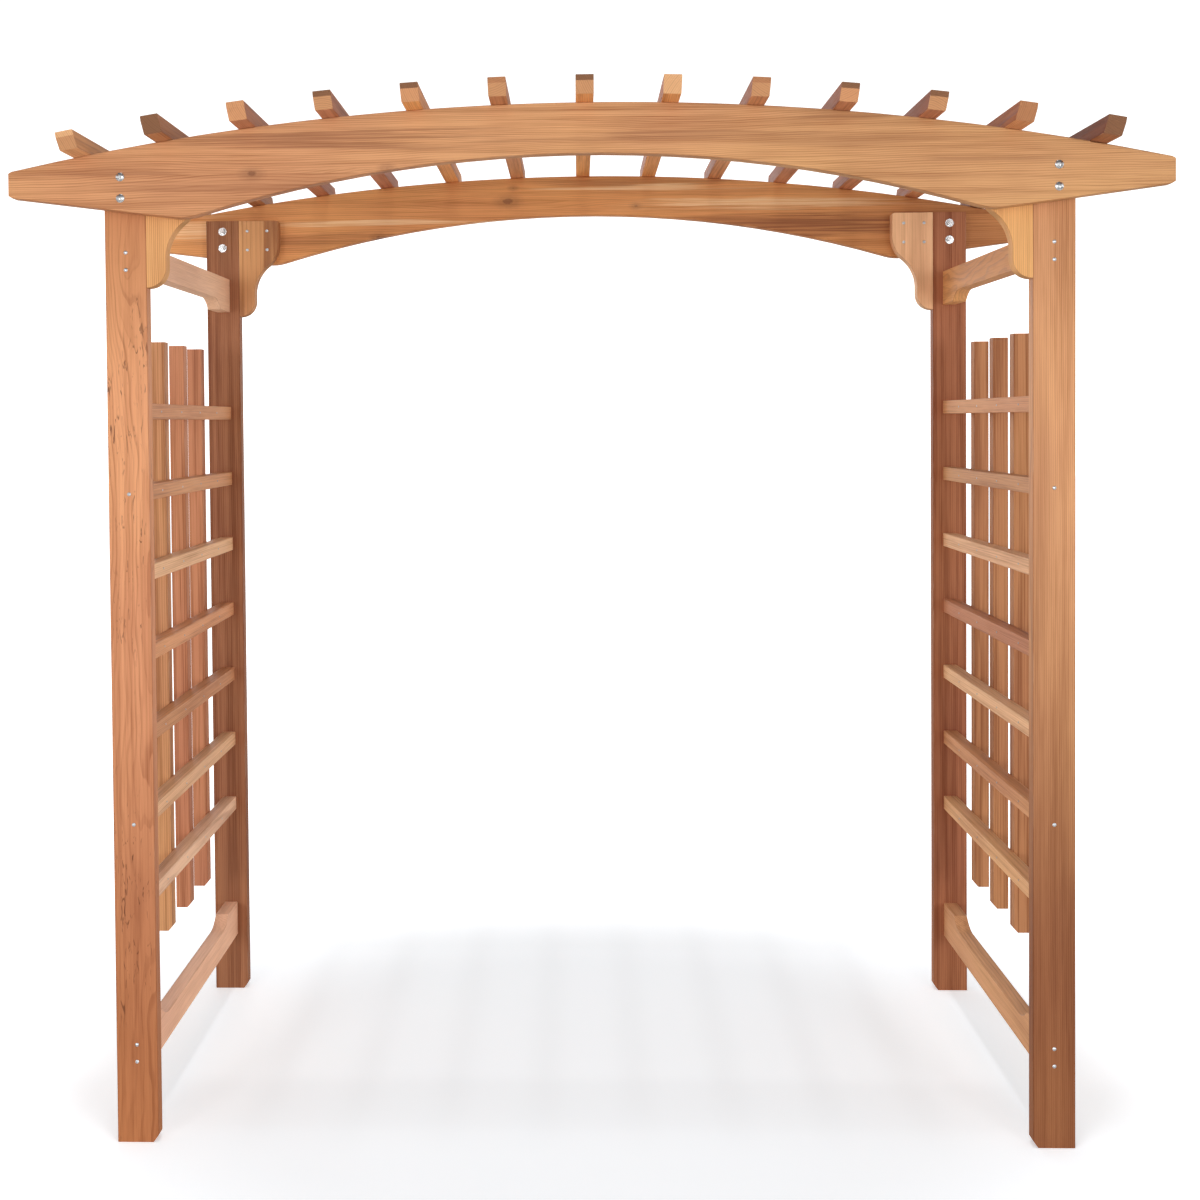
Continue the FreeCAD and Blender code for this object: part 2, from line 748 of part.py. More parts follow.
# ---------------------------------------------------------------- checks and export

for item in doc.Objects:
    if "Invalid" in item.State or "Error" in item.State:
        raise RuntimeError(f"{item.Name} failed: {item.State}")

os.makedirs("parts", exist_ok=True)
for node in nodes:
    if node.Shape.isNull() or not node.Shape.isValid():
        raise RuntimeError(f"{node.Label} has no valid shape")
    node.Shape.exportStep(f"parts/{node.Label}.step")
    print(f"{node.Label}: {len(node.Shape.Solids)} solid(s), {node.Shape.Volume / 1000:.1f} cm3")
print(f"{len(nodes)} nodes")
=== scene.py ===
import math
import random

import bpy
from mathutils import Matrix, Vector


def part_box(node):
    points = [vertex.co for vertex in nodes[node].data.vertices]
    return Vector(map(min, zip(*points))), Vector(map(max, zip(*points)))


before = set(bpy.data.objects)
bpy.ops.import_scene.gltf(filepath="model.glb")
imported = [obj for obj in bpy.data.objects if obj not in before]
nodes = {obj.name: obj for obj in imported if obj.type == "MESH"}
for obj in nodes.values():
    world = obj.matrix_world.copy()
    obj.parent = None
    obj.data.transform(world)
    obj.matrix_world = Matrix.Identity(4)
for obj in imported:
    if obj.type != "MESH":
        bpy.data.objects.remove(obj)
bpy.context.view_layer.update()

scene = bpy.context.scene

# ---------------------------------------------------------------- node helpers

class Graph:
    """A short way to write shader nodes. A value is either a socket or a plain number or tuple."""

    def __init__(self, tree):
        self.tree = tree

    def add(self, kind, **settings):
        node = self.tree.nodes.new(kind)
        for name, value in settings.items():
            setattr(node, name, value)
        return node

    def feed(self, socket, value):
        if isinstance(value, bpy.types.NodeSocket):
            self.tree.links.new(value, socket)
        else:
            socket.default_value = value

    def math(self, operation, *values, clamp=False):
        node = self.add("ShaderNodeMath", operation=operation, use_clamp=clamp)
        for socket, value in zip(node.inputs, values):
            self.feed(socket, value)
        return node.outputs[0]

    def vector(self, operation, *values):
        node = self.add("ShaderNodeVectorMath", operation=operation)
        for socket, value in zip(node.inputs, values):
            self.feed(socket, value)
        return node.outputs["Value" if operation == "LENGTH" else "Vector"]

    def split(self, vector):
        node = self.add("ShaderNodeSeparateXYZ")
        self.feed(node.inputs[0], vector)
        return node.outputs

    def combine(self, *values):
        node = self.add("ShaderNodeCombineXYZ")
        for socket, value in zip(node.inputs, values):
            self.feed(socket, value)
        return node.outputs[0]

    def noise(self, vector, stretch, detail=2.0, rough=0.5, distort=0.0):
        """Noise from 0 to 1. stretch is how many features there are per metre along, across, through."""
        scaled = self.vector("MULTIPLY", vector, stretch)
        node = self.add("ShaderNodeTexNoise")
        self.feed(node.inputs["Vector"], scaled)
        node.inputs["Scale"].default_value = 1.0
        node.inputs["Detail"].default_value = detail
        node.inputs["Roughness"].default_value = rough
        node.inputs["Distortion"].default_value = distort
        return node.outputs["Fac"]

    def grain(self, place, along, across, detail=2.0, rough=0.5, distort=0.0):
        """Noise that is drawn out along a board: so many features per metre along it and across it."""
        return self.noise(place, (along, across, across), detail, rough, distort)

    def step(self, value, low, high, to_low=0.0, to_high=1.0):
        """A smooth step of value from low to high."""
        node = self.add("ShaderNodeMapRange", interpolation_type="SMOOTHSTEP")
        for socket, number in zip(node.inputs, (value, low, high, to_low, to_high)):
            self.feed(socket, number)
        return node.outputs[0]

    def mix(self, amount, first, second, blend="MIX"):
        node = self.add("ShaderNodeMix", data_type="RGBA", blend_type=blend)
        self.feed(node.inputs["Factor"], amount)
        self.feed(node.inputs[6], first)
        self.feed(node.inputs[7], second)
        return node.outputs[2]


def new_group(name, inputs, outputs):
    """A node group with named inputs {name: default} and outputs {name: socket type}."""
    group = bpy.data.node_groups.new(name, "ShaderNodeTree")
    kinds = {1: "NodeSocketFloat", 3: "NodeSocketVector", 4: "NodeSocketColor"}
    for label, default in inputs.items():
        size = 1 if isinstance(default, float) else len(default)
        socket = group.interface.new_socket(label, in_out="INPUT", socket_type=kinds[size])
        socket.default_value = default
    for label, kind in outputs.items():
        group.interface.new_socket(label, in_out="OUTPUT", socket_type=kind)
    graph = Graph(group)
    return group, graph, graph.add("NodeGroupInput").outputs, graph.add("NodeGroupOutput").inputs


# ---------------------------------------------------------------- cedar

WHITE = (1.0, 1.0, 1.0, 1.0)
HEARTWOOD = (0.26, 0.11, 0.06, 1.0)
SAPWOOD = (1.0, 0.68, 0.38, 1.0)
PITCH_FLECK = (0.16, 0.06, 0.03, 1.0)
KNOT_BROWN = (0.17, 0.065, 0.035, 1.0)
OPEN_PORE = (0.08, 0.035, 0.02, 1.0)
RUBBED_PALE = (1.0, 0.86, 0.68, 1.0)
# late wood's colour, as a part of early wood's
LATE_WOOD = (0.55, 0.43, 0.36)
# a sawn end's colour, as a part of early wood's
SAWN_END = 0.75
# how a knot and the bend of the rings around it are drawn out along, across and through a board:
# the smaller the number, the longer they are that way
KNOT_SHAPE = (0.55, 1.0, 0.25)
BEND_SHAPE = (0.16, 1.0, 0.2)
# how far away from a board's middle its pith can lie, in metres
PITH_NEAR, PITH_FAR = 0.06, 0.2
# how far apart boards can be cut from the wood, in metres
CUT_SPREAD = 6
# how deep the surface's figure is, in metres
GRAIN_DEPTH = 0.0006
# ridges that the planer's knives leave, in radians per metre
PLANER_RIDGES = 900.0


def knot_group():
    """One knot: how far it pushes the growth rings aside, and how much of it shows."""
    group, g, given, result = new_group(
        "cedar_knot",
        {"Vector": (0.0, 0.0, 0.0), "Centre": (0.0, 0.0, 0.0), "Radius": 0.01, "Shift": 0.0, "Core": 0.0},
        {"Shift": "NodeSocketFloat", "Core": "NodeSocketFloat"})
    away = g.vector("SUBTRACT", given["Vector"], given["Centre"])
    wobble = g.math("SUBTRACT", g.grain(given["Vector"], 90.0, 90.0), 0.5)
    squeezed = g.vector("MULTIPLY", away, KNOT_SHAPE)
    distance = g.math("DIVIDE", g.vector("LENGTH", squeezed), given["Radius"])
    distance = g.math("ADD", distance, g.math("MULTIPLY", wobble, 0.5))
    side = g.math("SIGN", g.split(away)[1])
    wide = g.vector("LENGTH", g.vector("MULTIPLY", away, BEND_SHAPE))
    wide = g.math("DIVIDE", wide, g.math("MULTIPLY", given["Radius"], 3.2))
    falloff = g.math("EXPONENT", g.math("MULTIPLY", g.math("MULTIPLY", wide, wide), -1.0))
    push = g.math("MULTIPLY", g.math("MULTIPLY", falloff, side), given["Radius"])
    core = g.step(distance, 1.05, 0.45, 0.0, 0.85)
    halo = g.step(distance, 2.2, 0.9, 0.0, 0.3)
    g.feed(result["Shift"], g.math("ADD", given["Shift"], g.math("MULTIPLY", push, 1.1)))
    g.feed(result["Core"], g.math("MAXIMUM", given["Core"], g.math("MAXIMUM", core, halo)))
    return group


def patch_group():
    """One long soft patch of darker heartwood or pale sapwood, frayed along the grain."""
    group, g, given, result = new_group(
        "cedar_patch",
        {"Vector": (0.0, 0.0, 0.0), "Centre": (0.0, 0.0, 0.0), "Length": 0.5, "Width": 0.03,
         "Strength": 0.5, "Amount": 0.0},
        {"Amount": "NodeSocketFloat"})
    away = g.split(g.vector("SUBTRACT", given["Vector"], given["Centre"]))
    fray = g.grain(given["Vector"], 2.2, 95.0, 4.0, 0.65)
    drift = g.grain(given["Vector"], 1.6, 2.0, 1.0)
    along = g.math("DIVIDE", away[0], g.math("MULTIPLY", given["Length"], 0.5))
    across = g.math("MULTIPLY_ADD", g.math("SUBTRACT", drift, 0.5), 0.03, away[1])
    across = g.math("DIVIDE", across, g.math("MULTIPLY", given["Width"], 0.5))
    reach = g.math("ADD", g.math("MULTIPLY", along, along), g.math("MULTIPLY", across, across))
    reach = g.math("MULTIPLY_ADD", g.math("SUBTRACT", fray, 0.5), 3.2, g.math("SQRT", reach))
    threads = g.step(g.grain(given["Vector"], 2.6, 210.0, 2.0, 0.6), 0.38, 0.62, 0.45, 1.0)
    amount = g.math("MULTIPLY", g.math("MULTIPLY", g.step(reach, 1.2, 0.4), threads), given["Strength"])
    g.feed(result["Amount"], g.math("MAXIMUM", given["Amount"], amount))
    return group


def growth_rings(g, given):
    """How much late wood shows, in rings around a pith outside the board."""
    place = given["Vector"]
    slow = g.math("SUBTRACT", g.grain(place, 1.1, 6.0, 2.0, 0.45), 0.5)
    quick = g.math("SUBTRACT", g.grain(place, 9.0, 40.0, 1.0), 0.5)
    from_pith = g.vector("MULTIPLY", g.vector("SUBTRACT", place, given["Pith"]), (0.0, 1.0, 1.0))
    depth = g.vector("LENGTH", from_pith)
    # the rings waver along the board, and knots push them aside
    depth = g.math("ADD", depth, g.math("MULTIPLY", slow, given["Wave"]))
    depth = g.math("ADD", depth, g.math("MULTIPLY", quick, g.math("MULTIPLY", given["Wave"], 0.09)))
    depth = g.math("ADD", depth, given["Shift"])
    count = g.math("DIVIDE", depth, given["Ring"])
    phase = g.math("FRACT", count)
    late = g.math("MULTIPLY", g.step(phase, 0.35, 0.9), g.step(phase, 1.0, 0.93))
    # some years leave a stronger ring than others
    year = g.add("ShaderNodeTexNoise", noise_dimensions="1D")
    g.feed(year.inputs["W"], g.math("MULTIPLY", count, 0.31))
    year.inputs["Detail"].default_value = 2.0
    strength = g.step(year.outputs["Fac"], 0.3, 0.72, 0.25, 1.15)
    return g.math("MULTIPLY", late, strength)


def figure(g, given, late, fibre):
    """How dark the wood is, from its rings, long streaks, thin threads, fine fibres and blotches."""
    place = given["Vector"]
    streak = g.grain(place, 1.3, 55.0, 3.0, 0.6)
    thread = g.grain(place, 2.0, 230.0, 2.0, 0.6)
    blotch = g.grain(place, 2.2, 9.0, 3.0, 0.55)
    lines = g.step(streak, 0.36, 0.7, -0.35, 0.75)
    lines = g.math("MULTIPLY_ADD", g.step(thread, 0.54, 0.74), 0.55, lines)
    shade = g.math("MULTIPLY_ADD", late, given["Grain"], 0.12)
    shade = g.math("MULTIPLY_ADD", lines, given["Streak"], shade)
    shade = g.math("MULTIPLY_ADD", g.math("SUBTRACT", fibre, 0.5), 0.7, shade)
    shade = g.math("MULTIPLY_ADD", g.math("SUBTRACT", blotch, 0.5), 0.7, shade)
    return g.math("MAXIMUM", g.math("MINIMUM", shade, 1.15), 0.0)


def marks(g, given, shade, color):
    """Bands of darker heartwood, pale sapwood, short dark flecks of pitch, and knots."""
    place = given["Vector"]
    band = g.step(g.grain(place, 0.9, 13.0, 3.0, 0.5, 0.5), 0.53, 0.74)
    band = g.math("MAXIMUM", g.math("MULTIPLY", band, given["Band"]), given["Stain"])
    color = g.mix(band, color, g.mix(0.5, given["Dark"], HEARTWOOD))

    elsewhere = g.vector("ADD", place, (7.3, 3.1, 5.7))
    sap = g.step(g.grain(elsewhere, 0.5, 16.0, 1.0, 0.4, 0.2), 0.55, 0.66)
    sap = g.math("MAXIMUM", g.math("MULTIPLY", sap, given["Sap"]), given["Cream"])
    color = g.mix(sap, color, g.mix(g.math("MULTIPLY", shade, 0.6), SAPWOOD, given["Light"]))

    fleck = g.step(g.grain(place, 22.0, 120.0, 2.0, 0.6, 1.2), 0.6, 0.7)
    fleck = g.math("MULTIPLY", fleck, g.step(g.grain(place, 2.6, 14.0, 1.0), 0.45, 0.6))
    color = g.mix(g.math("MULTIPLY", fleck, given["Fleck"]), color, PITCH_FLECK)

    rings = g.math("MULTIPLY", g.math("SINE", g.math("MULTIPLY", given["Core"], 26.0)), 0.12)
    knot = g.math("ADD", given["Core"], g.math("MULTIPLY", rings, given["Core"]), clamp=True)
    return g.mix(g.math("MULTIPLY", knot, 0.8), color, KNOT_BROWN)


def tone(g, given, through, color):
    """Large soft differences in tone, such as sunlight leaves, and painted shade as a tint of the wide
    faces.
    """
    cloud = g.grain(given["Vector"], 1.6, 4.0, 2.0)
    hue = g.add("ShaderNodeHueSaturation")
    g.feed(hue.inputs["Color"], color)
    g.feed(hue.inputs["Hue"], g.math("MULTIPLY_ADD", cloud, 0.02, 0.49))
    g.feed(hue.inputs["Value"], g.math("MULTIPLY_ADD", cloud, 0.36, 0.82))
    # painted shade: the wide faces take the board's side tint
    painted_side_shade = g.mix(g.step(through, 0.75, 0.95), WHITE, given["Side"])
    return g.mix(1.0, hue.outputs[0], painted_side_shade, blend="MULTIPLY")


def cedar_group():
    """Planed cedar. Vector is in metres in the board's own directions: along, across, through."""
    group, g, given, result = new_group(
        "planed_cedar",
        {"Vector": (0.0, 0.0, 0.0), "Normal": (0.0, 0.0, 1.0), "Pith": (0.0, 0.2, 0.05),
         "Ring": 0.004, "Wave": 0.02, "Grain": 0.6, "Streak": 0.5, "Band": 0.3, "Sap": 0.0, "Fleck": 0.0,
         "Shift": 0.0, "Core": 0.0, "Stain": 0.0, "Cream": 0.0, "Plain": 0.0,
         "Light": WHITE, "Dark": WHITE, "End": WHITE, "Nose": WHITE, "Side": WHITE},
        {"Color": "NodeSocketColor", "Roughness": "NodeSocketFloat", "Height": "NodeSocketFloat"})
    place = given["Vector"]
    facing = g.split(given["Normal"])
    endwise = g.math("ABSOLUTE", facing[0])
    through = g.math("ABSOLUTE", facing[2])
    fibre = g.grain(place, 9.0, 330.0, 2.0, 0.6)

    # a plain board shows few rings on its edge faces and ends
    plain = g.math("MULTIPLY", g.step(through, 0.7, 0.3), given["Plain"])
    late = g.math("MULTIPLY", growth_rings(g, given), g.math("SUBTRACT", 1.0, plain))
    shade = figure(g, given, late, fibre)
    color = marks(g, given, shade, g.mix(shade, given["Light"], given["Dark"]))
    color = tone(g, given, through, color)

    # sawn ends show the rings as arcs, with open pores; square ones can have a colour of their own
    end_cut = g.step(endwise, 0.55, 0.8)
    pores = g.grain(place, 40.0, 700.0, 2.0, 0.7)
    end_shade = g.math("ADD", g.math("MULTIPLY", late, 0.55), g.math("MULTIPLY", pores, 0.35), clamp=True)
    end_color = g.mix(g.step(endwise, 0.93, 0.98), given["End"], given["Nose"])
    end_color = g.mix(end_shade, end_color, g.mix(0.45, end_color, OPEN_PORE))
    color = g.mix(end_cut, color, end_color)

    # the eased edges between a wide face and an edge face are darker, and rubbed pale in places
    eased = g.math("MULTIPLY", g.step(through, 0.12, 0.4), g.step(through, 0.97, 0.85))
    worn = g.math("MULTIPLY", eased, g.step(g.grain(place, 14.0, 60.0, 2.0), 0.48, 0.7))
    color = g.mix(g.math("MULTIPLY", eased, 0.5), color, given["Dark"])
    color = g.mix(g.math("MULTIPLY", worn, 0.3), color, g.mix(0.35, given["Light"], RUBBED_PALE))

    rough = g.math("MULTIPLY_ADD", fibre, 0.22, 0.5)
    rough = g.math("SUBTRACT", rough, g.math("MULTIPLY", late, 0.08))
    rough = g.math("SUBTRACT", rough, g.math("MULTIPLY", worn, 0.1))
    rough = g.math("ADD", rough, g.math("MULTIPLY", end_cut, 0.16), clamp=True)

    height = g.math("MULTIPLY_ADD", late, 0.35, g.math("MULTIPLY", fibre, 0.5))
    planer = g.math("SINE", g.math("MULTIPLY", g.split(place)[0], PLANER_RIDGES))
    height = g.math("ADD", height, g.math("MULTIPLY", planer, 0.02))
    height = g.math("SUBTRACT", height, g.math("MULTIPLY", g.math("MULTIPLY", pores, end_cut), 0.6))
    g.feed(result["Color"], color)
    g.feed(result["Roughness"], rough)
    g.feed(result["Height"], height)
    return group


KNOT = knot_group()
PATCH = patch_group()
CEDAR = cedar_group()

# which coordinates run along, across and through a board
ALONG_X = (0, 2, 1)
ALONG_Y = (1, 2, 0)
ALONG_Z = (2, 0, 1)


def add_knots(g, place, knots):
    """Chain the board's knots. Returns how far they push the rings aside, and how much of them shows."""
    shift, core = 0.0, 0.0
    for along, across, radius in knots:
        knot = g.add("ShaderNodeGroup", node_tree=KNOT)
        g.feed(knot.inputs["Vector"], place)
        g.feed(knot.inputs["Centre"], (along, across, 0.0))
        g.feed(knot.inputs["Radius"], radius)
        g.feed(knot.inputs["Shift"], shift)
        g.feed(knot.inputs["Core"], core)
        shift, core = knot.outputs["Shift"], knot.outputs["Core"]
    return shift, core


def add_patches(g, place, patches):
    """Chain soft patches of one kind. Returns how much of them shows."""
    amount = 0.0
    for along, across, length, width, strength in patches:
        patch = g.add("ShaderNodeGroup", node_tree=PATCH)
        g.feed(patch.inputs["Vector"], place)
        g.feed(patch.inputs["Centre"], (along, across, 0.0))
        g.feed(patch.inputs["Length"], length)
        g.feed(patch.inputs["Width"], width)
        g.feed(patch.inputs["Strength"], strength)
        g.feed(patch.inputs["Amount"], amount)
        amount = patch.outputs["Amount"]
    return amount


def cedar(node, direction, light, end=None, nose=None, pith=None, knots=(), stains=(), creams=(), shade_and_tint_ramps=(),
          side=(1.0, 1.0, 1.0), **look):
    """Give one board its own piece of cedar.

    Places are in metres from the middle of the board. Knots are (along, across, radius), stains and
    creams are (along, across, length, width, strength), and fades are (where the colour starts to change
    along the board, where it is fully changed, tint). Most fades are painted shade that darkens a board
    towards one end, on the posts and the rear beam; the front beam's are slight tints. side is painted
    shade, a tint of the board's wide faces. look sets the cedar group's other inputs.
    """
    pick = random.Random(node)
    material = bpy.data.materials.new(node + "_cedar")
    material.use_nodes = True
    g = Graph(material.node_tree)
    shader = material.node_tree.nodes["Principled BSDF"]
    low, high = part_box(node)
    middle = [(a + b) / 2 for a, b in zip(low, high)]
    centre = tuple(middle[k] for k in direction)
    spots = g.split(g.add("ShaderNodeTexCoord").outputs["Object"])
    facing = g.split(g.add("ShaderNodeNewGeometry").outputs["Normal"])
    place = g.vector("SUBTRACT", g.combine(*(spots[k] for k in direction)), centre)
    shift, core = add_knots(g, place, knots)

    # each board is cut from its own part of the wood, at its own distance from the pith
    offset = tuple(pick.uniform(-CUT_SPREAD, CUT_SPREAD) for _ in range(3))
    if pith is None:
        turn = pick.uniform(0, 2 * math.pi)
        reach = pick.uniform(PITH_NEAR, PITH_FAR)
        pith = (reach * math.cos(turn), reach * math.sin(turn))
    wood = g.add("ShaderNodeGroup", node_tree=CEDAR)
    g.feed(wood.inputs["Vector"], g.vector("ADD", place, offset))
    g.feed(wood.inputs["Normal"], g.combine(*(facing[k] for k in direction)))
    g.feed(wood.inputs["Pith"], (offset[0], offset[1] + pith[0], offset[2] + pith[1]))
    g.feed(wood.inputs["Shift"], shift)
    g.feed(wood.inputs["Core"], core)
    g.feed(wood.inputs["Stain"], add_patches(g, place, stains))
    g.feed(wood.inputs["Cream"], add_patches(g, place, creams))
    wood.inputs["Light"].default_value = (*light, 1.0)
    wood.inputs["Dark"].default_value = (*(c * k for c, k in zip(light, LATE_WOOD)), 1.0)
    end = end or [SAWN_END * c for c in light]
    wood.inputs["End"].default_value = (*end, 1.0)
    wood.inputs["Nose"].default_value = (*(nose or end), 1.0)
    wood.inputs["Side"].default_value = (*side, 1.0)
    for name, value in look.items():
        wood.inputs[name.capitalize()].default_value = value
    color = wood.outputs["Color"]
    # painted shade, and slight tints on the front beam: the colour changes towards one end of the board
    for start, full, tint in shade_and_tint_ramps:
        changed = g.step(g.split(place)[0], start, full)
        color = g.mix(changed, color, g.mix(1.0, color, (*tint, 1.0), blend="MULTIPLY"))
    bump = g.add("ShaderNodeBump")
    bump.inputs["Strength"].default_value = 0.35
    bump.inputs["Distance"].default_value = GRAIN_DEPTH
    g.feed(bump.inputs["Height"], wood.outputs["Height"])
    g.feed(shader.inputs["Base Color"], color)
    g.feed(shader.inputs["Roughness"], wood.outputs["Roughness"])
    g.feed(shader.inputs["Normal"], bump.outputs["Normal"])
    shader.inputs["Specular IOR Level"].default_value = 0.18
    paint(node, material)


def paint(node, material):
    """Put one material all over a CAD node."""
    mesh = nodes[node].data
    mesh.materials.clear()
    mesh.materials.append(material)


# ---------------------------------------------------------------- boards

# colours of early wood
TAN = (0.63, 0.31, 0.145)
ROSE = (0.70, 0.33, 0.155)
RUST = (0.80, 0.37, 0.18)
HONEY = (0.80, 0.42, 0.165)
AMBER = (0.84, 0.39, 0.145)
SAND = (0.82, 0.45, 0.22)
LINEN = (0.91, 0.54, 0.30)
PALE = (0.95, 0.60, 0.39)
CLAY = (0.59, 0.25, 0.13)
BROWN = (0.50, 0.22, 0.10)
RED = (0.38, 0.155, 0.075)
NUT = (0.26, 0.12, 0.06)

cedar("front_beam", ALONG_X, (0.68, 0.345, 0.16), pith=(-0.3, 0.03), ring=0.0045, wave=0.06, grain=0.5,
      streak=0.45, band=0.2, knots=[(-0.70, -0.025, 0.010), (-0.415, -0.016, 0.007)],
      stains=[(-0.55, 0.045, 0.8, 0.045, 0.8), (-0.1, 0.036, 0.5, 0.012, 0.6), (0.2, 0.04, 0.6, 0.02, 0.7),
              (-1.02, -0.02, 0.4, 0.02, 0.5), (0.58, 0.085, 0.3, 0.03, 0.7), (0.5, 0.03, 0.6, 0.03, 0.35),
              (-0.8, -0.05, 0.7, 0.03, 0.4), (0.85, -0.01, 0.4, 0.02, 0.35)],
      shade_and_tint_ramps=[(0.1, 0.6, (0.97, 1.01, 0.96)), (-0.2, -0.8, (1.0, 0.96, 0.96))])
# the rear beam darkens towards its right end: painted shadow
cedar("rear_beam", ALONG_X, AMBER, pith=(0.2, 0.08), ring=0.005, wave=0.05, grain=0.4, streak=0.4, band=0.2,
      knots=[(-0.204, 0.049, 0.013), (0.144, 0.032, 0.007), (-0.56, -0.044, 0.008), (-0.19, 0.085, 0.006)],
      stains=[(-0.62, -0.05, 0.9, 0.05, 0.7), (0.62, -0.02, 0.8, 0.07, 1.0), (0.1, 0.09, 0.6, 0.025, 0.6)],
      creams=[(-0.6, -0.003, 1.0, 0.018, 1.0), (0.16, 0.078, 0.5, 0.016, 0.9),
              (0.5, 0.034, 0.75, 0.026, 1.0), (0.0, -0.01, 0.5, 0.012, 0.6),
              (-1.05, -0.02, 0.4, 0.06, 0.8)],
      shade_and_tint_ramps=[(0.45, 1.0, (0.66, 0.60, 0.57))])
# the front posts darken towards the top and towards the foot: painted shade
cedar("front_left_post", ALONG_Z, RUST, pith=(0.05, 0.16), ring=0.0035, wave=0.06, grain=0.4, streak=0.35,
      band=0.25, fleck=0.8, shade_and_tint_ramps=[(0.5, 1.0, (0.68, 0.60, 0.54)), (0.25, -1.0, (0.62, 0.50, 0.40))])
cedar("front_right_post", ALONG_Z, (0.74, 0.37, 0.18), pith=(0.3, 0.02), ring=0.0045, wave=0.012, grain=0.4,
      streak=0.4, band=0.35, shade_and_tint_ramps=[(0.6, 1.0, (0.84, 0.80, 0.78)), (0.5, -0.75, (0.45, 0.34, 0.28))])
# the rear posts' wood is darker partly in its own colour and partly as painted shade
cedar("rear_left_post", ALONG_Z, RED, pith=(0.28, 0.05), ring=0.005, wave=0.012, grain=0.5, streak=0.8,
      band=0.5)
cedar("rear_right_post", ALONG_Z, (0.43, 0.165, 0.075), pith=(-0.28, 0.03), ring=0.005, wave=0.012,
      grain=0.5, streak=0.8, band=0.3)
cedar("front_left_bracket", ALONG_Z, HONEY, pith=(0.2, 0.02), ring=0.004, wave=0.012, grain=0.6, streak=0.2,
      band=0.0, plain=0.9)
cedar("front_right_bracket", ALONG_Z, HONEY, pith=(0.22, 0.01), ring=0.004, wave=0.012, grain=0.5,
      streak=0.2, band=0.0, plain=0.9)
cedar("rear_left_bracket", ALONG_Z, (0.68, 0.34, 0.15), pith=(0.25, 0.01), ring=0.012, wave=0.02,
      grain=0.45, streak=1.0, band=0.9, sap=0.8, plain=0.9)
cedar("rear_right_bracket", ALONG_Z, LINEN, pith=(0.25, 0.03), ring=0.004, wave=0.012, grain=0.25,
      streak=0.2, band=0.1, plain=0.9)
# the left braces' pale woods are partly their own colour and partly painted light on their inner faces
cedar("left_upper_brace", ALONG_Y, PALE, pith=(0.15, 0.04), wave=0.02, grain=0.15, streak=0.15, band=0.0)
cedar("right_upper_brace", ALONG_Y, (0.76, 0.37, 0.15), pith=(0.02, 0.07), ring=0.006, wave=0.11,
      grain=0.45, streak=0.15, band=0.0)
cedar("left_lower_brace", ALONG_Y, (0.97, 0.56, 0.37), pith=(0.15, 0.05), wave=0.02, grain=0.15,
      streak=0.15, band=0.0)
cedar("right_lower_brace", ALONG_Y, (0.76, 0.39, 0.19), pith=(0.12, 0.05), wave=0.02, grain=0.35,
      streak=0.3)

# the rails from the top one down, and the slats from the front one back
# the rails' woods are a little pale: partly their own colour, partly painted light on their inner faces
RAIL_WOOD = {"left": (ROSE, ROSE, LINEN, RUST, ROSE, LINEN, PALE),
             "right": (ROSE, TAN, LINEN, CLAY, LINEN, ROSE, SAND)}
SLAT_WOOD = {"left": (TAN, TAN, CLAY, CLAY), "right": (BROWN, BROWN, BROWN, BROWN)}
for side in ("left", "right"):
    for number, wood in enumerate(RAIL_WOOD[side], start=1):
        cedar(f"{side}_trellis_rail_{number}", ALONG_Y, wood, wave=0.014, grain=0.4, streak=0.5, band=0.15)
    for number, wood in enumerate(SLAT_WOOD[side], start=1):
        cedar(f"{side}_trellis_slat_{number}", ALONG_Z, wood, wave=0.012, grain=0.5, streak=0.8, band=0.2)

# each rafter's wood, its square nose and the slope under it, from left to right
RAFTERS = [(SAND, SAND, TAN), (BROWN, NUT, NUT), (CLAY, ROSE, ROSE), (CLAY, NUT, TAN),
           (AMBER, NUT, ROSE), (ROSE, BROWN, TAN), (AMBER, NUT, TAN), (AMBER, SAND, SAND),
           (ROSE, BROWN, TAN), (CLAY, NUT, ROSE), (CLAY, NUT, TAN), (ROSE, BROWN, BROWN), (RED, NUT, NUT)]
# rafters are a little paler than other boards of the same wood
RAFTER_GAIN = 1.12
# painted shade on the rafters' side faces: one tint for those left of the middle one and one for the rest
LEFT_SIDE_PAINTED_SHADE = (0.68, 0.58, 0.46)
RIGHT_SIDE_PAINTED_SHADE = (0.53, 0.30, 0.09)
for number, (wood, nose, slope) in enumerate(RAFTERS, start=1):
    on_the_left = number <= len(RAFTERS) // 2
    cedar(f"rafter_{number:02d}", ALONG_Y, [RAFTER_GAIN * part for part in wood], end=slope, nose=nose,
          side=LEFT_SIDE_PAINTED_SHADE if on_the_left else RIGHT_SIDE_PAINTED_SHADE,
          wave=0.015, grain=0.5, streak=0.5, band=0.3)


# ---------------------------------------------------------------- steel

# the colour of the dark spots, a painted reflection of dark surroundings, and of the scratches, as a part
# of the plating's
DARK_REFLECTION_AND_SCRATCH = 0.2
# how deep the scratches are, in metres
SCRATCH_DEPTH = 0.0002
# features per metre: round dark spots of painted reflection, and scratches that run one way
DARK_REFLECTION_SPOTS = (210.0, 210.0, 210.0)
SCRATCHES = (2600.0, 300.0, 900.0)


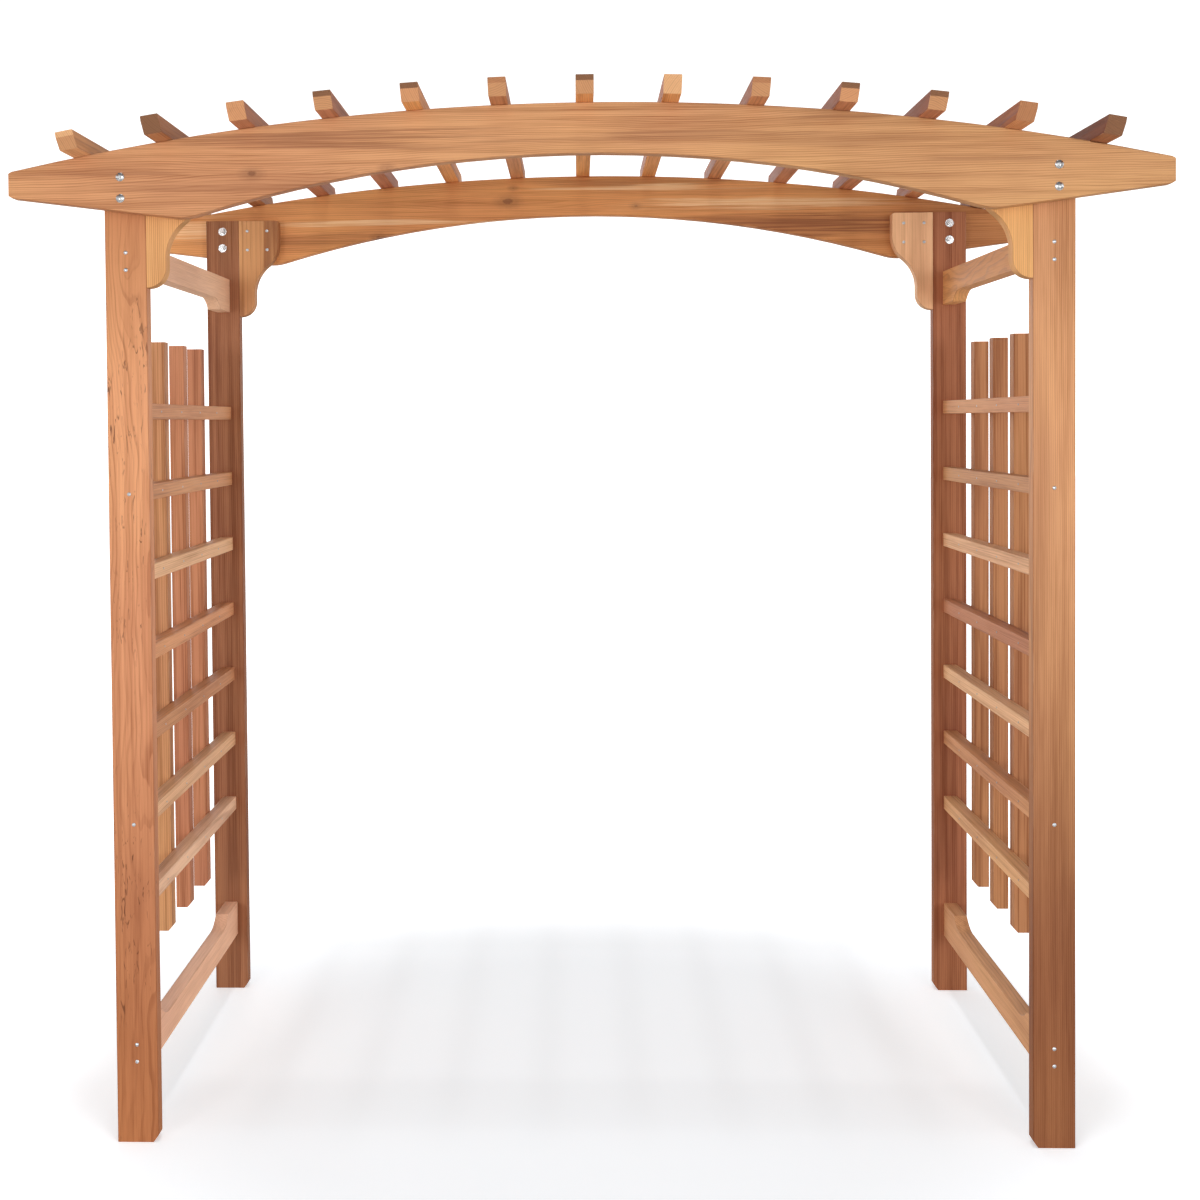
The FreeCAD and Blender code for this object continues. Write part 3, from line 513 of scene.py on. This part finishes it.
def steel(name, color, rough, patch, node_names):
    """Plated steel with dark spots of painted reflection and fine scratches. patch is how strongly the
    spots show.
    """
    material = bpy.data.materials.new(name)
    material.use_nodes = True
    g = Graph(material.node_tree)
    shader = material.node_tree.nodes["Principled BSDF"]
    place = g.add("ShaderNodeTexCoord").outputs["Object"]
    # painted reflection: the dark spots stand for dark surroundings mirrored in the steel
    cloud = g.noise(place, DARK_REFLECTION_SPOTS, 2.0, 0.6, 0.4)
    scratch = g.noise(place, SCRATCHES, 2.0, 0.6)
    shade = g.math("ADD", g.math("MULTIPLY", g.step(cloud, 0.44, 0.58), patch),
                   g.math("MULTIPLY", g.step(scratch, 0.55, 0.75), 0.25), clamp=True)
    dark_reflection_and_scratch_color = [DARK_REFLECTION_AND_SCRATCH * c for c in color]
    g.feed(shader.inputs["Base Color"], g.mix(shade, (*color, 1.0), (*dark_reflection_and_scratch_color, 1.0)))
    g.feed(shader.inputs["Roughness"], g.math("MULTIPLY_ADD", shade, 0.25, rough))
    bump = g.add("ShaderNodeBump")
    bump.inputs["Strength"].default_value = 0.15
    bump.inputs["Distance"].default_value = SCRATCH_DEPTH
    g.feed(bump.inputs["Height"], scratch)
    g.feed(shader.inputs["Normal"], bump.outputs["Normal"])
    shader.inputs["Metallic"].default_value = 1.0
    for node in node_names:
        paint(node, material)


steel("zinc_plate", (0.76, 0.77, 0.78), 0.16, 0.6, ["carriage_bolts", "bolt_washers", "bolt_nuts"])
steel("screw_coating", (0.72, 0.76, 0.80), 0.32, 0.35,
      ["bracket_screws", "brace_screws", "trellis_panel_screws", "rafter_screws"])
steel("nail_steel", (0.66, 0.66, 0.66), 0.38, 0.5, ["left_trellis_nails", "right_trellis_nails"])


# ---------------------------------------------------------------- floor, light and camera

# half the floor's width, in metres, and its two mottled tones
FLOOR_HALF = 40.0
FLOOR_TONES = (0.875, 0.92, 0.96, 1.0), (0.915, 0.955, 0.995, 1.0)
# what the arbour's light bounces off instead
BOUNCE_TONE = (0.92, 0.90, 0.88, 1.0)
GLOW_TONE = (0.98, 0.99, 1.0, 1.0)
# the floor's own glow: its middle, where it starts to grow and is full, and how strong it is there
GLOW_MIDDLE = (0.0, -0.1, 0.0)
GLOW_STARTS, GLOW_FULL = 0.75, 2.2
GLOW_LEAST, GLOW_MOST = 0.30, 1.1
# how bright the room is overhead, and how much brighter than that near its floor
CEILING_LIGHT, WALL_LIGHT = 0.12, 1.7


def floor():
    """A plain pale floor that runs out into the white room. Its glow is seen but lights nothing."""
    corners = [(x * FLOOR_HALF, y * FLOOR_HALF, 0) for x, y in ((-1, -1), (1, -1), (1, 1), (-1, 1))]
    mesh = bpy.data.meshes.new("floor")
    mesh.from_pydata(corners, [], [(0, 1, 2, 3)])
    plane = bpy.data.objects.new("floor", mesh)
    scene.collection.objects.link(plane)
    material = bpy.data.materials.new("pale_floor")
    material.use_nodes = True
    material.node_tree.nodes.clear()
    g = Graph(material.node_tree)
    place = g.add("ShaderNodeTexCoord").outputs["Object"]
    mottle = g.noise(place, (1.5, 1.5, 1.5), 3.0)
    pale = g.add("ShaderNodeBsdfDiffuse")
    g.feed(pale.inputs["Color"], g.mix(mottle, *FLOOR_TONES))
    glow = g.add("ShaderNodeEmission")
    glow.inputs["Color"].default_value = GLOW_TONE
    distance = g.vector("LENGTH", g.vector("SUBTRACT", place, GLOW_MIDDLE))
    g.feed(glow.inputs["Strength"], g.step(distance, GLOW_STARTS, GLOW_FULL, GLOW_LEAST, GLOW_MOST))
    seen = g.add("ShaderNodeAddShader")
    g.feed(seen.inputs[0], pale.outputs[0])
    g.feed(seen.inputs[1], glow.outputs[0])
    dim = g.add("ShaderNodeBsdfDiffuse")
    dim.inputs["Color"].default_value = BOUNCE_TONE
    both = g.add("ShaderNodeMixShader")
    g.feed(both.inputs[0], g.add("ShaderNodeLightPath").outputs["Is Camera Ray"])
    g.feed(both.inputs[1], dim.outputs[0])
    g.feed(both.inputs[2], seen.outputs[0])
    g.feed(g.add("ShaderNodeOutputMaterial").inputs["Surface"], both.outputs[0])
    mesh.materials.append(material)


def soft_light(name, place, aim, size, power):
    """A square soft box that points at a spot."""
    light = bpy.data.lights.new(name, "AREA")
    light.size = size
    light.energy = power
    lamp = bpy.data.objects.new(name, light)
    lamp.location = place
    lamp.rotation_euler = (Vector(aim) - Vector(place)).to_track_quat("-Z", "Y").to_euler()
    scene.collection.objects.link(lamp)


def sky():
    """A white room. Its walls give most of the light, its ceiling little, and all of it looks white."""
    world = bpy.data.worlds.new("white_room")
    world.use_nodes = True
    scene.world = world
    g = Graph(world.node_tree)
    background = world.node_tree.nodes["Background"]
    background.inputs["Color"].default_value = WHITE
    seen = g.add("ShaderNodeLightPath").outputs["Is Camera Ray"]
    up = g.split(g.add("ShaderNodeTexCoord").outputs["Generated"])[2]
    from_zenith = g.math("SUBTRACT", 1.0, g.math("MAXIMUM", up, 0.0))
    walls = g.math("MULTIPLY_ADD", g.math("MULTIPLY", from_zenith, from_zenith), WALL_LIGHT, CEILING_LIGHT)
    g.feed(background.inputs["Strength"], g.math("MAXIMUM", walls, seen))


def camera():
    """The camera stands in front of the walkway at eye height, a little left of the middle."""
    eye = Vector((-0.0205, -4.0158, 1.5507))
    # yaw turns to the right, pitch turns up and roll leans to the left, in radians
    yaw, pitch, roll = -0.03468, -0.02594, -0.00834
    across = Vector((math.cos(yaw), -math.sin(yaw), 0.0))
    ahead = Vector((math.sin(yaw) * math.cos(pitch), math.cos(yaw) * math.cos(pitch), math.sin(pitch)))
    up = across.cross(ahead)
    right = across * math.cos(roll) + up * math.sin(roll)
    top = up * math.cos(roll) - across * math.sin(roll)
    data = bpy.data.cameras.new("camera")
    data.sensor_width = 36.0
    data.lens = 49.65
    data.shift_x = 0.0667
    data.shift_y = -0.1127
    data.clip_end = 200.0
    lens = bpy.data.objects.new("camera", data)
    turn = Matrix((right, top, -ahead)).transposed()
    lens.matrix_world = Matrix.Translation(eye) @ turn.to_4x4()
    scene.collection.objects.link(lens)
    scene.camera = lens


floor()
sky()
soft_light("left_box", (-3.2, -6.5, 1.5), (0.0, 0.0, 1.3), 1.4, 80.0)
soft_light("right_box", (3.2, -6.5, 1.5), (0.0, 0.0, 1.3), 1.4, 80.0)
soft_light("back_box", (-2.5, 7.0, 3.0), (0.0, 0.0, 1.2), 2.5, 60.0)
soft_light("top_box", (0.0, -1.8, 14.0), (0.0, 0.0, 0.0), 1.5, 380.0)
camera()
scene.view_settings.view_transform = "Standard"
